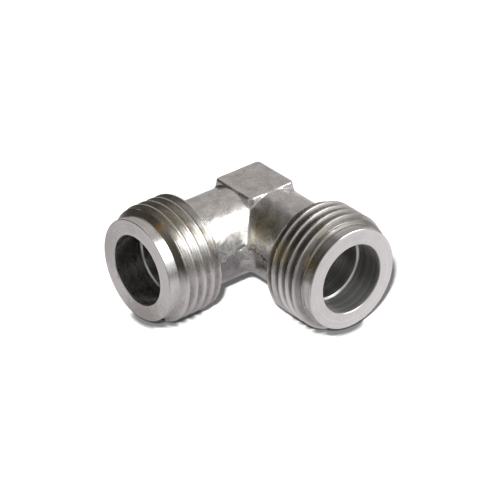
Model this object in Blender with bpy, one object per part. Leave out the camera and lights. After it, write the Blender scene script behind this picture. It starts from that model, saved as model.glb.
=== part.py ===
"""Equal 90 degree hydraulic elbow adapter, male parallel pipe thread at both ports.

The body is one forging, turned, drilled and threaded at its two ends. Both port axes lie in one level
plane: port X leaves along +X and port Y along +Y. The origin is on the lower spanner flat, straight below
the point where the two axes cross.
"""

import math

import bmesh
import bpy
from mathutils import Matrix, Vector

MM = 0.001

# Port reach, from the crossing of the two port axes to each end face
CENTRE_TO_FACE = 26.0 * MM

# Parallel pipe thread, 1/2 inch, 14 turns to the inch, 55 degree flanks
THREAD_DIAMETER = 20.955 * MM
THREAD_PITCH = 25.4 / 14 * MM
THREAD_DEPTH = 1.162 * MM
THREAD_HALF_ANGLE = math.radians(27.5)
THREAD_CREST = 0.302 * MM
CUTTER_PROUD = 0.15 * MM
CREST_FROM_FACE_X = 1.24 * MM
CREST_FROM_FACE_Y = 2.43 * MM

# Threaded end: plain pilot ahead of the thread, lead chamfer, back chamfer, all measured along the axis
PILOT_DIAMETER = 18.5 * MM
PILOT_LENGTH = 2.1 * MM
LEAD_CHAMFER = 0.8 * MM
THREADED_END_LENGTH = 10.7 * MM
BACK_CHAMFER = 0.6 * MM
FACE_CHAMFER = 0.2 * MM

# Flow way: a counterbore at each mouth, then drilled holes that meet at the crossing
BORE_DIAMETER = 12.1 * MM
COUNTERBORE_DIAMETER = 12.7 * MM
COUNTERBORE_DEPTH = 5.8 * MM
MOUTH_CHAMFER = 0.2 * MM
DRILL_PAST_CROSSING = 1.5 * MM
DRILL_POINT_HALF_ANGLE = math.radians(59)

# Forged body
NECK_DIAMETER = 16.0 * MM
CROTCH_RADIUS = 0.9 * MM
HEEL_RADIUS = 3.5 * MM
SHARPEST_BEND = 0.3 * MM
ACROSS_FLATS = 16.2 * MM
FLAT_OUTER_REACH = 4.95 * MM
UPPER_FLAT_INNER_REACH = 4.85 * MM
LOWER_FLAT_INNER_REACH = 3.4 * MM
FLAT_DRAFT = math.radians(3)
FLAT_EDGE_RADIUS = 0.4 * MM
FLASH_PROUD = 0.15 * MM
FLASH_THICKNESS = 0.9 * MM
FLASH_INTO_SHOULDER = 0.25 * MM

ROUND_STEPS = 48
BEND_STEPS = 5

AXIS_HEIGHT = ACROSS_FLATS / 2


def clear_scene():
    """Empties the scene."""
    for item in list(bpy.data.objects):
        bpy.data.objects.remove(item)


def mesh_object(name, bm):
    """Links a bmesh to the scene as a mesh object with outward normals."""
    bmesh.ops.recalc_face_normals(bm, faces=bm.faces)
    mesh = bpy.data.meshes.new(name)
    bm.to_mesh(mesh)
    bm.free()
    item = bpy.data.objects.new(name, mesh)
    bpy.context.scene.collection.objects.link(item)
    return item


def boolean(body, tool, operation):
    """Adds a Boolean modifier to the body. Its tool is parented to the body and isn't part of the product."""
    tool.hide_render = True
    tool.display_type = "WIRE"
    tool.parent = body
    modifier = body.modifiers.new(f"{operation.lower()} {tool.name}", "BOOLEAN")
    modifier.operation = operation
    modifier.solver = "EXACT"
    modifier.object = tool


def turned(name, profile, steps=ROUND_STEPS):
    """Revolves a profile of (along, radius) points, which starts and ends on the axis, about +X."""
    bm = bmesh.new()
    points = [bm.verts.new((along, radius, 0.0)) for along, radius in profile]
    edges = [bm.edges.new(pair) for pair in zip(points, points[1:])]
    bmesh.ops.spin(
        bm,
        geom=points + edges,
        cent=(0.0, 0.0, 0.0),
        axis=(1.0, 0.0, 0.0),
        angle=2 * math.pi,
        steps=steps,
        use_merge=True,
    )
    bmesh.ops.remove_doubles(bm, verts=bm.verts, dist=0.001 * MM)
    return mesh_object(name, bm)


def thread_cutter(name, crest_from_face):
    """Helical V cutter along +X. It starts ahead of the lead chamfer and runs out behind the shoulder."""
    root = THREAD_DIAMETER / 2 - THREAD_DEPTH
    outer = THREAD_DIAMETER / 2 + CUTTER_PROUD
    flank = math.tan(THREAD_HALF_ANGLE)
    half_root = (THREAD_PITCH - THREAD_CREST) / 2 - THREAD_DEPTH * flank
    half_outer = (THREAD_PITCH - THREAD_CREST) / 2 + CUTTER_PROUD * flank
    groove_from_face = crest_from_face - THREAD_PITCH / 2
    turns = math.ceil((THREADED_END_LENGTH - groove_from_face) / THREAD_PITCH) + 1
    start = CENTRE_TO_FACE - groove_from_face
    section = [(-half_root, root), (half_root, root), (half_outer, outer), (-half_outer, outer)]
    bm = bmesh.new()
    corners = [bm.verts.new((start + along, radius, 0.0)) for along, radius in section]
    face = bm.faces.new(corners)
    steps = turns * ROUND_STEPS
    bmesh.ops.spin(
        bm,
        geom=[face],
        cent=(0.0, 0.0, 0.0),
        axis=(-1.0, 0.0, 0.0),
        dvec=Vector((-THREAD_PITCH / ROUND_STEPS, 0.0, 0.0)),
        angle=2 * math.pi * turns,
        steps=steps,
        use_merge=False,
    )
    bmesh.ops.triangulate(bm, faces=bm.faces)
    return mesh_object(name, bm)


def drill(name):
    """Flow way of one port along +X: chamfered mouth, counterbore, drilled hole and drill point."""
    bore = BORE_DIAMETER / 2
    counterbore = COUNTERBORE_DIAMETER / 2
    face = CENTRE_TO_FACE
    step = face - COUNTERBORE_DEPTH
    point = -DRILL_PAST_CROSSING - bore / math.tan(DRILL_POINT_HALF_ANGLE)
    profile = [
        (point, 0.0),
        (-DRILL_PAST_CROSSING, bore),
        (step, bore),
        (step, counterbore),
        (face - MOUTH_CHAMFER, counterbore),
        (face + MOUTH_CHAMFER, counterbore + 2 * MOUTH_CHAMFER),
        (face + MOUTH_CHAMFER, 0.0),
    ]
    return turned(name, profile)


def corner_path(offset, reach, radius):
    """Level line around the elbow at one sideways offset from the axes, its corner rounded.

    It runs from X = reach to Y = reach. A positive offset lies on the crotch side, a negative one on the heel.
    """
    points = [(reach, offset)]
    for step in range(BEND_STEPS + 1):
        turn = math.pi / 2 * step / BEND_STEPS
        across = radius * (1 - math.sin(turn))
        along = radius * (1 - math.cos(turn))
        points.append((offset + across, offset + along))
    points.append((offset, reach))
    return points


def bend_radius(offset, half_width):
    """Corner radius of the level line at this offset: sharp over the top, full at the crotch and the heel."""
    share = abs(offset) / half_width
    full = CROTCH_RADIUS * share**4 if offset > 0 else HEEL_RADIUS * share
    return max(full, SHARPEST_BEND)


def turned_end_profile():
    """Turned outline of one end as (along, radius), from the end face back to the shoulder behind the thread."""
    thread = THREAD_DIAMETER / 2
    pilot = PILOT_DIAMETER / 2
    face = CENTRE_TO_FACE
    shoulder = face - THREADED_END_LENGTH
    return [
        (face, pilot - FACE_CHAMFER),
        (face - FACE_CHAMFER, pilot),
        (face - PILOT_LENGTH, pilot),
        (face - PILOT_LENGTH - LEAD_CHAMFER, thread),
        (shoulder + BACK_CHAMFER, thread),
        (shoulder, thread - BACK_CHAMFER),
    ]


def blank():
    """Forged necks with both turned ends before threading and drilling, as one bent bar.

    It is lofted through level lines round its section: each line follows the outline of end X, the neck
    round the corner, and the outline of end Y back out.
    """
    half_width = NECK_DIAMETER / 2
    shoulder = CENTRE_TO_FACE - THREADED_END_LENGTH
    outline = turned_end_profile()
    bm = bmesh.new()
    lines = []
    for step in range(ROUND_STEPS):
        angle = 2 * math.pi * step / ROUND_STEPS
        across = math.cos(angle)
        up = math.sin(angle)
        offset = half_width * across
        neck = corner_path(offset, shoulder, bend_radius(offset, half_width))
        points = [(along, radius * across, radius * up) for along, radius in outline]
        points += [(x, y, half_width * up) for x, y in neck]
        points += [(radius * across, along, radius * up) for along, radius in reversed(outline)]
        lines.append([bm.verts.new(point) for point in points])
    for line, following in zip(lines, lines[1:] + lines[:1]):
        for k in range(len(line) - 1):
            bm.faces.new((line[k], line[k + 1], following[k + 1], following[k]))
    bm.faces.new([line[0] for line in lines])
    bm.faces.new([line[-1] for line in reversed(lines)])
    return mesh_object("elbow_body", bm)


def spanner_flat(name, side, inner_reach):
    """Square boss whose end is one spanner flat, above the necks (side 1) or under them (side -1).

    Its walls slope outward by the forging draft on the way down to the level of the port axes.
    """
    height = ACROSS_FLATS / 2
    bm = bmesh.new()
    rings = []
    for level in (0.0, height):
        grow = (height - level) * math.tan(FLAT_DRAFT)
        low = -FLAT_OUTER_REACH - grow
        high = inner_reach + grow
        square = ((low, low), (high, low), (high, high), (low, high))
        rings.append([bm.verts.new((x, y, side * level)) for x, y in square])
    foot, top = rings
    for k in range(4):
        bm.faces.new((foot[k], foot[(k + 1) % 4], top[(k + 1) % 4], top[k]))
    bm.faces.new(foot)
    bm.faces.new(top)
    item = mesh_object(name, bm)
    bevel = item.modifiers.new("forged edges", "BEVEL")
    bevel.width = FLAT_EDGE_RADIUS
    bevel.segments = 2
    bevel.limit_method = "ANGLE"
    bevel.angle_limit = math.radians(30)
    return item


def flash_line():
    """Trimmed flash that the forging dies leave round the level of the port axes."""
    half_width = NECK_DIAMETER / 2 + FLASH_PROUD
    reach = CENTRE_TO_FACE - THREADED_END_LENGTH + FLASH_INTO_SHOULDER
    crotch = corner_path(half_width, reach, CROTCH_RADIUS)
    heel = corner_path(-half_width, reach, HEEL_RADIUS)
    bm = bmesh.new()
    outline = bm.faces.new([bm.verts.new((x, y, -FLASH_THICKNESS / 2)) for x, y in crotch + heel[::-1]])
    extruded = bmesh.ops.extrude_face_region(bm, geom=[outline])
    raised = [v for v in extruded["geom"] if isinstance(v, bmesh.types.BMVert)]
    bmesh.ops.translate(bm, verts=raised, vec=(0.0, 0.0, FLASH_THICKNESS))
    return mesh_object("flash_line", bm)


def plated_steel():
    """Bright plated steel."""
    material = bpy.data.materials.new("plated_steel")
    material.use_nodes = True
    shader = material.node_tree.nodes["Principled BSDF"]
    shader.inputs["Base Color"].default_value = (0.66, 0.64, 0.62, 1.0)
    shader.inputs["Metallic"].default_value = 1.0
    shader.inputs["Roughness"].default_value = 0.28
    return material


def build_elbow():
    """The finished elbow: forged blank with its flats and flash, then drilled and threaded at both ports."""
    body = blank()
    boolean(body, spanner_flat("upper_flat", 1, UPPER_FLAT_INNER_REACH), "UNION")
    boolean(body, spanner_flat("lower_flat", -1, LOWER_FLAT_INNER_REACH), "UNION")
    boolean(body, flash_line(), "UNION")
    along_x = Matrix.Identity(4)
    along_y = Matrix.Rotation(math.pi / 2, 4, "Z")
    for port, placing in (("x", along_x), ("y", along_y)):
        flow_way = drill(f"flow_way_{port}")
        flow_way.matrix_world = placing
        boolean(body, flow_way, "DIFFERENCE")
    for port, placing, crest_from_face in (
        ("x", along_x, CREST_FROM_FACE_X),
        ("y", along_y, CREST_FROM_FACE_Y),
    ):
        cutter = thread_cutter(f"thread_{port}", crest_from_face)
        cutter.matrix_world = placing
        boolean(body, cutter, "DIFFERENCE")
    body.location.z = AXIS_HEIGHT
    body.data.materials.append(plated_steel())
    return body


clear_scene()
build_elbow()
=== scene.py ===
"""Dress the hydraulic elbow adapter: one forging with two turned and threaded ends, bright plated.

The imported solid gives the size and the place. Three pieces stand for it here: the forged corner with its
spanner flats and the two threaded ends, each with its own skin. Meshes are in metres. Finishes are laid out
in millimetres, along and round the axis of a port.
"""

import functools
import itertools
import logging
import math
from dataclasses import dataclass
from enum import Enum

import bmesh
import bpy
import numpy as np
from mathutils import Matrix, Vector

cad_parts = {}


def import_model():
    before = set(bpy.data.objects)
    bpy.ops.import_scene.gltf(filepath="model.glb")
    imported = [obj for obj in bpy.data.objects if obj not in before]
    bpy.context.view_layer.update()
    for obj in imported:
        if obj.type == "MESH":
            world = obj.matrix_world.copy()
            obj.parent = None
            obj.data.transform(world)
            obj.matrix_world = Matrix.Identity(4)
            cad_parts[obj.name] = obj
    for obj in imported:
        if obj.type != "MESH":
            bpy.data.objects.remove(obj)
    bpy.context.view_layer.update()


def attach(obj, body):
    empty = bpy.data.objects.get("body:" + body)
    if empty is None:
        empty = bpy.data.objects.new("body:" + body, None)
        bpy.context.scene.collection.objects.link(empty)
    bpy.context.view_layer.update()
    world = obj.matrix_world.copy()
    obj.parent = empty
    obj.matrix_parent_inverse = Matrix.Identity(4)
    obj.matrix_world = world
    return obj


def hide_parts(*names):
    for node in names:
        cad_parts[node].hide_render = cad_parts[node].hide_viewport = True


MM = 0.001
LOG = logging.getLogger("elbow_adapter")

# Sizes that the pieces share
AXIS_HEIGHT = 8.1 * MM
CENTRE_TO_FACE = 26.0 * MM
SHOULDER = 15.3 * MM
THREAD_RADIUS = 10.4775 * MM
ROOT_RADIUS = 9.3155 * MM
BORE_RADIUS = 6.05 * MM
FLOOR_HEIGHT = AXIS_HEIGHT - THREAD_RADIUS

# The side that the photograph was taken from, and what its lamp and its reflections centre on
FRONT = math.radians(141.2)
MIDDLE = (8.0 * MM, 8.0 * MM, AXIS_HEIGHT)

Array = np.ndarray
Material = bpy.types.Material
Object = bpy.types.Object
Socket = bpy.types.NodeSocket
Outputs = bpy.types.NodeOutputs
Color = tuple[float, float, float, float]
Point = tuple[float, float, float]
Range = tuple[float, float]

BLACK = (0.0, 0.0, 0.0, 1.0)
WHITE = (1.0, 1.0, 1.0, 1.0)
FLOAT, VECTOR, COLOR = "NodeSocketFloat", "NodeSocketVector", "NodeSocketColor"


class Port(Enum):
    """The two ports of the elbow, by the axis that each leaves along."""

    X = "x"
    Y = "y"

    def place(self, along: Array, side: Array, up: Array) -> Array:
        """Turn port coordinates into places in the shared frame.

        Args:
            along: distance out along the port's axis.
            side: distance to the right, seen from outside the port.
            up: height over the port's axis.

        Returns:
            One row of x, y, z for each point.
        """
        if self is Port.X:
            return np.stack([along, side, up + AXIS_HEIGHT], axis=-1)
        return np.stack([-side, along, up + AXIS_HEIGHT], axis=-1)


class Finish(Enum):
    """The finishes that the plated steel shows."""

    TURNED = "turned_steel"
    BORED = "bored_steel"
    FORGED = "forged_skin"


# Node groups and materials


class NodeSheet:
    """A node tree that is written down call by call, with each node placed beside the last one."""

    gap = 220

    def __init__(self, tree: bpy.types.NodeTree) -> None:
        """Keep the tree of a material, a world or a group, which the calls add to."""
        self.tree = tree
        self.column = 0

    def add(self, kind: str, values: dict | None = None, **settings: object) -> bpy.types.Node:
        """Add a shader node, set its properties and fill its inputs.

        Args:
            kind: the node's type name, without the words ShaderNode.
            values: input name or number to a plain value or to an output socket that feeds it.
            settings: properties of the node itself.

        Returns:
            The new node.
        """
        node = self.tree.nodes.new(f"ShaderNode{kind}")
        node.location = (self.gap * self.column, 0)
        self.column += 1
        for name, value in settings.items():
            setattr(node, name, value)
        for key, value in (values or {}).items():
            if isinstance(value, Socket):
                self.tree.links.new(value, node.inputs[key])
            else:
                node.inputs[key].default_value = value
        return node

    def math(self, operation: str, first: object, second: object = 0.0, clamp: bool = False) -> Socket:
        """One operation on two numbers or sockets, kept between 0 and 1 where clamp is set."""
        node = self.add("Math", {0: first, 1: second}, operation=operation, use_clamp=clamp)
        return node.outputs[0]

    def times(self, *factors: object) -> Socket:
        """Product of two or more numbers and sockets."""
        return functools.reduce(lambda product, factor: self.math("MULTIPLY", product, factor), factors)

    def plus(self, first: object, second: object) -> Socket:
        """Sum of two numbers or sockets."""
        return self.math("ADD", first, second)

    def minus(self, first: object, second: object) -> Socket:
        """Difference of two numbers or sockets."""
        return self.math("SUBTRACT", first, second)

    def span(self, value: object, low: float, high: float, to_low: float = 0.0, to_high: float = 1.0,
             smooth: bool = True) -> Socket:
        """Carry a range of values onto another range, held at both ends.

        Args:
            value: the socket to carry over.
            low: the value that becomes to_low.
            high: the value that becomes to_high.
            to_low: the result at low.
            to_high: the result at high.
            smooth: whether the change eases in and out.

        Returns:
            The result's socket.
        """
        node = self.add("MapRange", {0: value, 1: low, 2: high, 3: to_low, 4: to_high}, clamp=True,
                        interpolation_type="SMOOTHSTEP" if smooth else "LINEAR")
        return node.outputs[0]

    def blend(self, share: object, first: object, second: object, mode: str = "MIX") -> Socket:
        """Lay a share of the second colour over the first, in a mix mode."""
        node = self.add("Mix", {0: share, 6: first, 7: second}, data_type="RGBA", blend_type=mode)
        return node.outputs[2]

    def noise(self, vector: Socket, scale: object, detail: float, roughness: float = 0.5) -> Socket:
        """Noise over a vector, from about 0 to 1."""
        values = {"Vector": vector, "Scale": scale, "Detail": detail, "Roughness": roughness}
        return self.add("TexNoise", values).outputs["Fac"]

    def split(self, vector: Socket) -> Outputs:
        """The x, y and z of a vector."""
        return self.add("SeparateXYZ", {0: vector}).outputs

    def place(self) -> Socket:
        """The shaded point, in metres in the object's own frame."""
        return self.add("TexCoord").outputs["Object"]


def new_material(name: str) -> tuple[Material, NodeSheet]:
    """Make an empty material.

    Args:
        name: the material's name.

    Returns:
        The material and the sheet for its nodes.
    """
    material = bpy.data.materials.new(name)
    material.use_nodes = True
    material.node_tree.nodes.clear()
    return material, NodeSheet(material.node_tree)


class Effect:
    """A shader node group that is built once and placed in each material with its own values."""

    label = "effect"
    takes: dict[str, str] = {}
    gives: dict[str, str] = {}

    def __init__(self) -> None:
        """Make the group with its named inputs and outputs."""
        self.tree = bpy.data.node_groups.new(self.label, "ShaderNodeTree")
        for side, sockets in (("INPUT", self.takes), ("OUTPUT", self.gives)):
            for name, kind in sockets.items():
                self.tree.interface.new_socket(name=name, in_out=side, socket_type=kind)
        sheet = NodeSheet(self.tree)
        source = self.tree.nodes.new("NodeGroupInput")
        source.location = (-sheet.gap, 0)
        results = self.wire(sheet, source.outputs)
        target = self.tree.nodes.new("NodeGroupOutput")
        target.location = (sheet.gap * sheet.column, 0)
        for name, socket in results.items():
            self.tree.links.new(socket, target.inputs[name])

    def wire(self, sheet: NodeSheet, given: Outputs) -> dict[str, Socket]:
        """Lay out the group's nodes.

        Args:
            sheet: the group's sheet.
            given: the sockets of the group's inputs.

        Returns:
            Output name to the socket that feeds it.
        """
        raise NotImplementedError

    def put(self, sheet: NodeSheet, values: dict[str, object]) -> Outputs:
        """Place the group in a material, with a value or a socket for each input."""
        return sheet.add("Group", values, node_tree=self.tree).outputs


class PortCoordinates(Effect):
    """Where a point lies on its port: along the axis, away from it and round it."""

    label = "port coordinates"
    takes = {"Place": VECTOR, "Turn": FLOAT}
    gives = {"Along": FLOAT, "Radius": FLOAT, "Wrap": VECTOR}

    def wire(self, sheet: NodeSheet, given: Outputs) -> dict[str, Socket]:
        """Take the place apart about the port's axis.

        Args:
            sheet: the group's sheet.
            given: Place in metres and Turn, 1 for the port along +Y.

        Returns:
            Along, Radius and Wrap (along, side, up), all in millimetres.
        """
        x, y, z = sheet.split(given["Place"])
        along = sheet.add("Mix", {0: given["Turn"], 2: x, 3: y}).outputs[0]
        side = sheet.add("Mix", {0: given["Turn"], 2: y, 3: x}).outputs[0]
        along = sheet.times(along, 1.0 / MM)
        side = sheet.times(side, 1.0 / MM)
        up = sheet.times(sheet.minus(z, AXIS_HEIGHT), 1.0 / MM)
        square = sheet.plus(sheet.math("POWER", side, 2.0), sheet.math("POWER", up, 2.0))
        wrap = sheet.add("CombineXYZ", {0: along, 1: side, 2: up}).outputs[0]
        return {"Along": along, "Radius": sheet.math("SQRT", square), "Wrap": wrap}


class TurningMarks(Effect):
    """Fine rings that a lathe tool leaves, with slow drift in depth and in shade."""

    label = "turning marks"
    takes = {"Along": FLOAT, "Radius": FLOAT, "Wrap": VECTOR, "Rings": FLOAT, "Seed": FLOAT}
    gives = {"Height": FLOAT, "Shade": FLOAT, "Smear": FLOAT}

    def wire(self, sheet: NodeSheet, given: Outputs) -> dict[str, Socket]:
        """Noise stretched round the axis, so that it changes mostly across the rings.

        Args:
            sheet: the group's sheet.
            given: the port coordinates, the rings per millimetre and a seed.

        Returns:
            Height for a bump, Shade for colour and Smear for roughness, each from 0 to 1.
        """
        rings = sheet.add("CombineXYZ", {0: sheet.times(given["Along"], given["Rings"]),
                                         1: sheet.times(given["Radius"], given["Rings"]), 2: given["Seed"]})
        drift = sheet.add("VectorMath", {0: given["Wrap"], 1: (0.07, 0.07, 0.07)}, operation="MULTIPLY")
        joined = sheet.add("VectorMath", {0: rings.outputs[0], 1: drift.outputs[0]}, operation="ADD")
        fine = sheet.noise(joined.outputs[0], 1.0, 2.0, 0.6)
        broad = sheet.noise(joined.outputs[0], 0.27, 1.0)
        patch = sheet.noise(given["Wrap"], 0.35, 3.0)
        return {"Height": sheet.plus(sheet.times(fine, 0.65), sheet.times(broad, 0.35)),
                "Shade": sheet.span(broad, 0.35, 0.65),
                "Smear": sheet.plus(sheet.times(patch, 0.6), sheet.times(fine, 0.4))}


class Tarnish(Effect):
    """Thin brown and violet film that lies in patches, thicker where a mask lets it."""

    label = "tarnish"
    takes = {"Wrap": VECTOR, "Mask": FLOAT, "Amount": FLOAT, "Scale": FLOAT, "Clean": COLOR, "Warm": COLOR,
             "Cold": COLOR}
    gives = {"Color": COLOR, "Film": FLOAT}

    def wire(self, sheet: NodeSheet, given: Outputs) -> dict[str, Socket]:
        """Two noises choose where the film lies and which tint it has.

        Args:
            sheet: the group's sheet.
            given: port coordinates, mask, amount, scale and the three colours.

        Returns:
            The tinted metal colour, and Film from 0, clean, to 1, thick.
        """
        where = sheet.noise(given["Wrap"], given["Scale"], 4.0, 0.62)
        tint = sheet.noise(given["Wrap"], sheet.times(given["Scale"], 0.55), 2.0)
        spots = sheet.times(sheet.span(where, 0.42, 0.68), given["Mask"])
        film = sheet.math("MULTIPLY", spots, given["Amount"], clamp=True)
        overlay = sheet.blend(sheet.span(tint, 0.44, 0.58), given["Warm"], given["Cold"])
        return {"Color": sheet.blend(film, given["Clean"], overlay), "Film": film}


class ForgeTexture(Effect):
    """Pitted, slightly rippled skin of a shot-blasted forging under plating."""

    label = "forge texture"
    takes = {"Place": VECTOR}
    gives = {"Height": FLOAT, "Mottle": FLOAT, "Pits": FLOAT}

    def wire(self, sheet: NodeSheet, given: Outputs) -> dict[str, Socket]:
        """Broad ripples, blasted grain and single pits.

        Args:
            sheet: the group's sheet.
            given: Place in metres.

        Returns:
            Height for a bump, Mottle for colour and Pits, each from 0 to 1.
        """
        scaled = sheet.add("VectorMath", {0: given["Place"], 3: 1.0 / MM}, operation="SCALE").outputs[0]
        ripple = sheet.noise(scaled, 0.55, 2.0)
        grain = sheet.noise(scaled, 2.4, 4.0, 0.65)
        cells = sheet.add("TexVoronoi", {"Vector": scaled, "Scale": 1.9}).outputs["Distance"]
        pits = sheet.span(cells, 0.05, 0.32, 1.0, 0.0)
        height = sheet.plus(sheet.times(ripple, 0.45), sheet.times(grain, 0.55))
        mottle = sheet.plus(sheet.times(ripple, 0.5), sheet.times(grain, 0.5))
        return {"Height": sheet.minus(height, sheet.times(pits, 0.15)),
                "Mottle": sheet.span(mottle, 0.38, 0.62), "Pits": pits}


class SpotMask(Effect):
    """A ragged spot round a point."""

    label = "spot mask"
    takes = {"Wrap": VECTOR, "Centre": VECTOR, "Radius": FLOAT, "Strength": FLOAT}
    gives = {"Mask": FLOAT}

    def wire(self, sheet: NodeSheet, given: Outputs) -> dict[str, Socket]:
        """Distance from the centre, roughened by noise.

        Args:
            sheet: the group's sheet.
            given: port coordinates, the spot's centre and radius in millimetres, and its strength.

        Returns:
            Mask from 0 outside to the strength at the middle.
        """
        away = sheet.add("VectorMath", {0: given["Wrap"], 1: given["Centre"]}, operation="DISTANCE")
        share = sheet.math("DIVIDE", away.outputs["Value"], given["Radius"])
        rag = sheet.times(sheet.minus(sheet.noise(given["Wrap"], 1.3, 4.0, 0.7), 0.5), 1.6)
        return {"Mask": sheet.times(sheet.span(sheet.plus(share, rag), 1.0, 0.25), given["Strength"])}


class Effects:
    """The shared node groups, each built once."""

    def __init__(self) -> None:
        """Build the groups in order."""
        self.coordinates = PortCoordinates()
        self.marks = TurningMarks()
        self.tarnish = Tarnish()
        self.forge = ForgeTexture()
        self.spot = SpotMask()


@dataclass(frozen=True)
class TintSpot:
    """A spot of colour at a point, in port coordinates in millimetres: most are stains, some are painted
    shade.
    """

    centre: Point
    radius: float
    strength: float
    color: Color

    def over(self, sheet: NodeSheet, effects: Effects, wrap: Socket, color: Socket) -> Socket:
        """Lay the spot over the colour of a material that has these port coordinates."""
        spot = {"Wrap": wrap, "Centre": self.centre, "Radius": self.radius, "Strength": self.strength}
        return sheet.blend(effects.spot.put(sheet, spot)["Mask"], color, self.color)


@dataclass(frozen=True)
class PlatedSteel:
    """What the finishes of the plated steel share: metal, a film that lies in patches and fine relief."""

    finish: Finish
    clean: Color
    warm: Color
    cold: Color
    film: float
    film_scale: float
    roughness: float
    smear: Range
    relief: float
    relief_depth: float

    def filmed(self, sheet: NodeSheet, effects: Effects, wrap: Socket, mask: object) -> Outputs:
        """The metal's colour with its film, and the film itself, where a mask lets it lie."""
        return effects.tarnish.put(sheet, {"Wrap": wrap, "Mask": mask, "Amount": self.film,
                                           "Scale": self.film_scale, "Clean": self.clean, "Warm": self.warm,
                                           "Cold": self.cold})

    def rough(self, sheet: NodeSheet, pattern: Socket, low: float, high: float) -> Socket:
        """The roughness, smeared by a pattern that runs from low to high."""
        return sheet.span(pattern, low, high, self.roughness + self.smear[0], self.roughness + self.smear[1])

    def close(self, sheet: NodeSheet, color: Socket, metal: object, rough: Socket, height: Socket) -> None:
        """End the material with its shader.

        Args:
            sheet: the material's sheet.
            color: the base colour.
            metal: how metallic it is.
            rough: the roughness.
            height: the height of the relief, from 0 to 1.
        """
        bump = sheet.add("Bump", {"Strength": self.relief, "Distance": self.relief_depth, "Height": height})
        shader = sheet.add("BsdfPrincipled", {"Base Color": color, "Metallic": metal, "Roughness": rough,
                                              "Normal": bump.outputs[0]})
        sheet.add("OutputMaterial", {"Surface": shader.outputs[0]})


@dataclass(frozen=True)
class PortSteel(PlatedSteel):
    """A finish with tool marks, laid out along and round the axis of one port."""

    port: Port
    rings: float
    seed: float

    def start(self, effects: Effects) -> tuple[Material, NodeSheet, Outputs, Outputs]:
        """Begin the material.

        Args:
            effects: the shared node groups.

        Returns:
            The material, its sheet, the port coordinates and the tool marks.
        """
        material, sheet = new_material(f"{self.finish.value}_{self.port.value}")
        at = effects.coordinates.put(sheet, {"Place": sheet.place(), "Turn": float(self.port is Port.Y)})
        marks = effects.marks.put(sheet, {"Along": at["Along"], "Radius": at["Radius"], "Wrap": at["Wrap"],
                                          "Rings": self.rings, "Seed": self.seed})
        return material, sheet, at, marks


@dataclass(frozen=True)
class TurnedSteel(PortSteel):
    """Bright plated steel as the lathe and the thread die left it."""

    finish: Finish = Finish.TURNED
    clean: Color = (0.82, 0.81, 0.80, 1.0)
    warm: Color = (0.52, 0.45, 0.36, 1.0)
    cold: Color = (0.62, 0.59, 0.62, 1.0)
    film: float = 0.5
    film_scale: float = 0.45
    film_least: float = 0.25
    film_in_groove: float = 1.3
    film_blur: float = 0.15
    roughness: float = 0.2
    smear: Range = (-0.05, 0.07)
    relief: float = 0.25
    relief_depth: float = 0.02 * MM
    port: Port = Port.X
    rings: float = 7.0
    seed: float = 0.0
    ring_tint: Color = (0.42, 0.37, 0.31, 1.0)
    ring_shade: float = 0.12
    face_shade: float = 0.12
    face_edge: Range = (25.8, 25.9)
    # Where the skin of the thread gives way to that of the smooth end
    thread_end: Range = (23.6, 24.0)
    groove_painted_shade: float = 0.1
    thread_blur: float = 0.04
    lead_blur: float = 0.0
    # Painted shade where the thread meets the smooth end, by how far out, how high and how far to the side it
    # lies
    corner_shade: float = 0.5
    corner_shade_least: float = 0.35
    corner_shade_tint: Color = (0.16, 0.13, 0.09, 1.0)
    corner_shade_start: Range = (22.7, 23.2)
    corner_shade_end: Range = (24.0, 23.9)
    corner_shade_up: Range = (0.5, 4.5)
    corner_shade_side: Range = (-2.0, 3.5)
    tint_spots: tuple[TintSpot, ...] = ()

    def build(self, effects: Effects) -> Material:
        """Make the material.

        Args:
            effects: the shared node groups.

        Returns:
            The new material.
        """
        material, sheet, at, marks = self.start(effects)
        along, wrap = at["Along"], at["Wrap"]
        groove = sheet.span(at["Radius"], THREAD_RADIUS / MM, ROOT_RADIUS / MM)
        threaded = sheet.span(along, *self.thread_end, 1.0, 0.0)
        mask = sheet.times(sheet.span(groove, 0.05, 0.7, self.film_least, self.film_in_groove), threaded)
        film = self.filmed(sheet, effects, wrap, sheet.math("MAXIMUM", mask, self.film_least))
        share = sheet.times(sheet.span(marks["Shade"], 0.25, 0.75),
                            sheet.span(along, *self.face_edge, self.ring_shade, self.face_shade))
        color = sheet.blend(share, film["Color"], self.ring_tint, "MULTIPLY")
        # Painted shade: the thread's grooves darken towards black, down the flanks to the root; the same mask
        # roughens them
        deep = sheet.times(sheet.span(groove, 0.02, 0.55), threaded)
        color = sheet.blend(sheet.times(deep, self.groove_painted_shade), color, BLACK)
        _, side, up = sheet.split(wrap)
        # Painted shade: brown-black darkening over the upper side of the corner between the thread and the
        # smooth end
        corner_shade = sheet.times(sheet.span(along, *self.corner_shade_start), sheet.span(along, *self.corner_shade_end),
                           sheet.span(up, *self.corner_shade_up, 0.0, self.corner_shade),
                           sheet.span(side, *self.corner_shade_side, self.corner_shade_least, 1.0))
        color = sheet.blend(corner_shade, color, self.corner_shade_tint)
        for overlay in self.tint_spots:
            color = overlay.over(sheet, effects, wrap, color)
        rough = self.rough(sheet, marks["Smear"], 0.3, 0.7)
        rough = sheet.plus(rough, sheet.times(film["Film"], self.film_blur))
        rough = sheet.plus(rough, sheet.times(deep, self.thread_blur))
        rough = sheet.plus(rough, sheet.span(threaded, 0.0, 1.0, self.lead_blur, 0.0))
        self.close(sheet, color, 1.0, rough, marks["Height"])
        return material


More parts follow.
